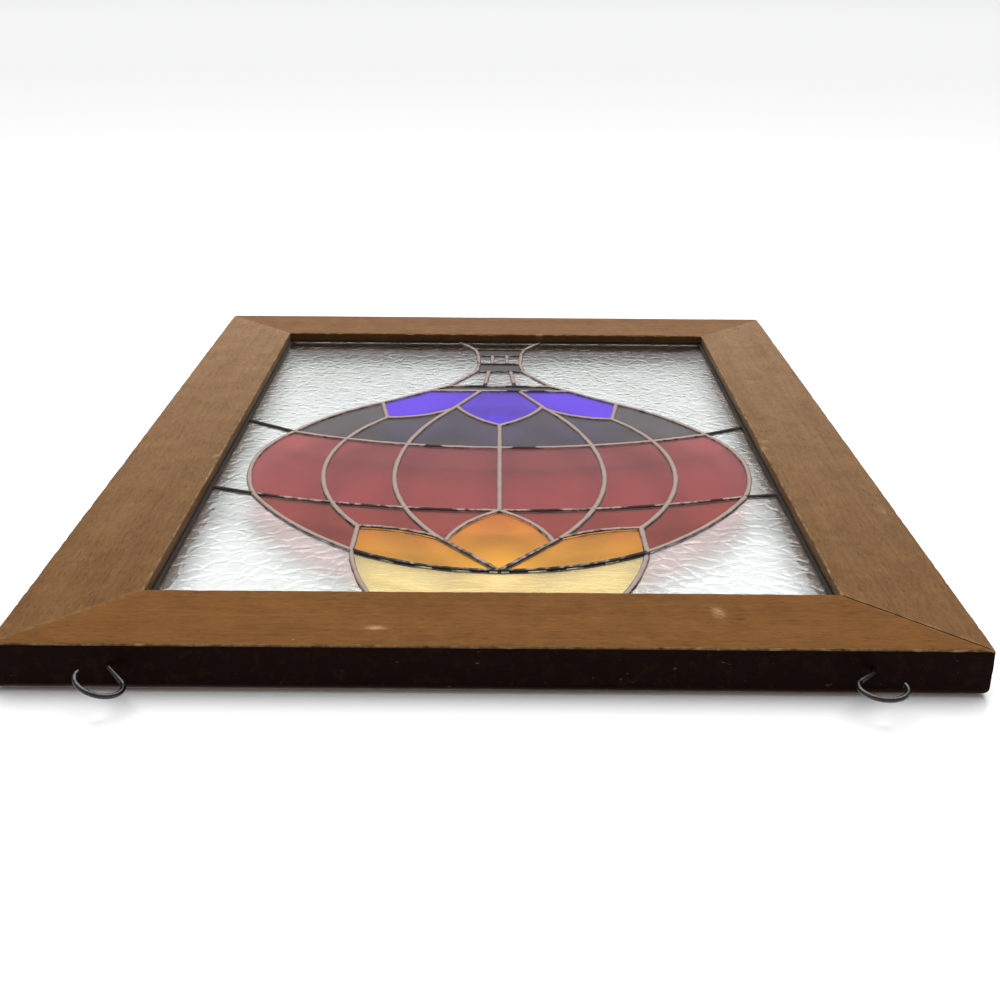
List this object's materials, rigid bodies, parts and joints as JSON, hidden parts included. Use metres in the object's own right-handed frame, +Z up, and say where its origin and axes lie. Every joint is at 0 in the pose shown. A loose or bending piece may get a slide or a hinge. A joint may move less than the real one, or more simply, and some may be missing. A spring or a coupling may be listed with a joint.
{
  "type": "stained glass window",
  "caption": "Upright stained glass panel with a hot-air balloon picture, in a mitred wooden frame with screw hooks in its top edge for hanging.",
  "frame": {"origin": "midway between the two screw hooks, at the height where a chain bears inside their loops, in the plane of the hooks' wire, 11.5 mm behind the front of the frame", "axes": "+Z up as it hangs, -Y out of the front of the panel, +X to the right seen from the front"},
  "size_m": [0.508, 0.027, 0.7025],
  "materials": {
    "stained_wood": "brown stain with a worn satin varnish, darker in the end grain and edges",
    "soldered_lines": "dull tin-lead solder over copper foil, pinkish grey with black tarnish in places",
    "hook_steel": "darkened zinc-plated wire",
    "clear_glass": "clear crackle-textured glass with a faint green tint",
    "yellow_glass": "pale yellow rippled glass",
    "orange_glass": "orange glass, smooth with a few seeds",
    "wine_glass": "deep wine-red glass, smooth",
    "red_glass": "dusty red glass, smooth",
    "smoke_glass": "smoky grey glass, smooth",
    "violet_glass": "blue-violet glass, smooth",
    "amber_glass": "dark brown glass"
  },
  "bodies": {
    "root": {"basket_glass": "amber_glass", "bottom_rail": "stained_wood", "clear_base_glass": "clear_glass", "clear_lower_left": "clear_glass", "clear_lower_right": "clear_glass", "clear_middle_left": "clear_glass", "clear_middle_right": "clear_glass", "clear_upper_left": "clear_glass", "clear_upper_right": "clear_glass", "collar_glass": "smoke_glass", "hook_left": "hook_steel", "hook_right": "hook_steel", "lead_lines": "soldered_lines", "left_stile": "stained_wood", "mouth_band_glass": "smoke_glass", "orange_leaf_centre": "orange_glass", "orange_leaf_left": "orange_glass", "orange_leaf_right": "orange_glass", "red_inner_left": "red_glass", "red_inner_right": "red_glass", "red_middle_left": "red_glass", "red_middle_right": "red_glass", "red_outer_left": "red_glass", "red_outer_right": "red_glass", "right_stile": "stained_wood", "rope_centre_glass": "clear_glass", "rope_glass_left": "clear_glass", "rope_glass_right": "clear_glass", "skirt_centre_glass": "clear_glass", "skirt_glass_left": "clear_glass", "skirt_glass_right": "clear_glass", "smoke_inner_left": "smoke_glass", "smoke_inner_right": "smoke_glass", "smoke_middle_left": "smoke_glass", "smoke_middle_right": "smoke_glass", "smoke_outer_left": "smoke_glass", "smoke_outer_right": "smoke_glass", "top_rail": "stained_wood", "violet_petal_centre": "violet_glass", "violet_petal_left": "violet_glass", "violet_petal_right": "violet_glass", "wine_inner_left": "wine_glass", "wine_inner_right": "wine_glass", "wine_middle_left": "wine_glass", "wine_middle_right": "wine_glass", "wine_outer_left": "wine_glass", "wine_outer_right": "wine_glass", "yellow_crown_glass": "yellow_glass"}
  },
  "joints": []
}
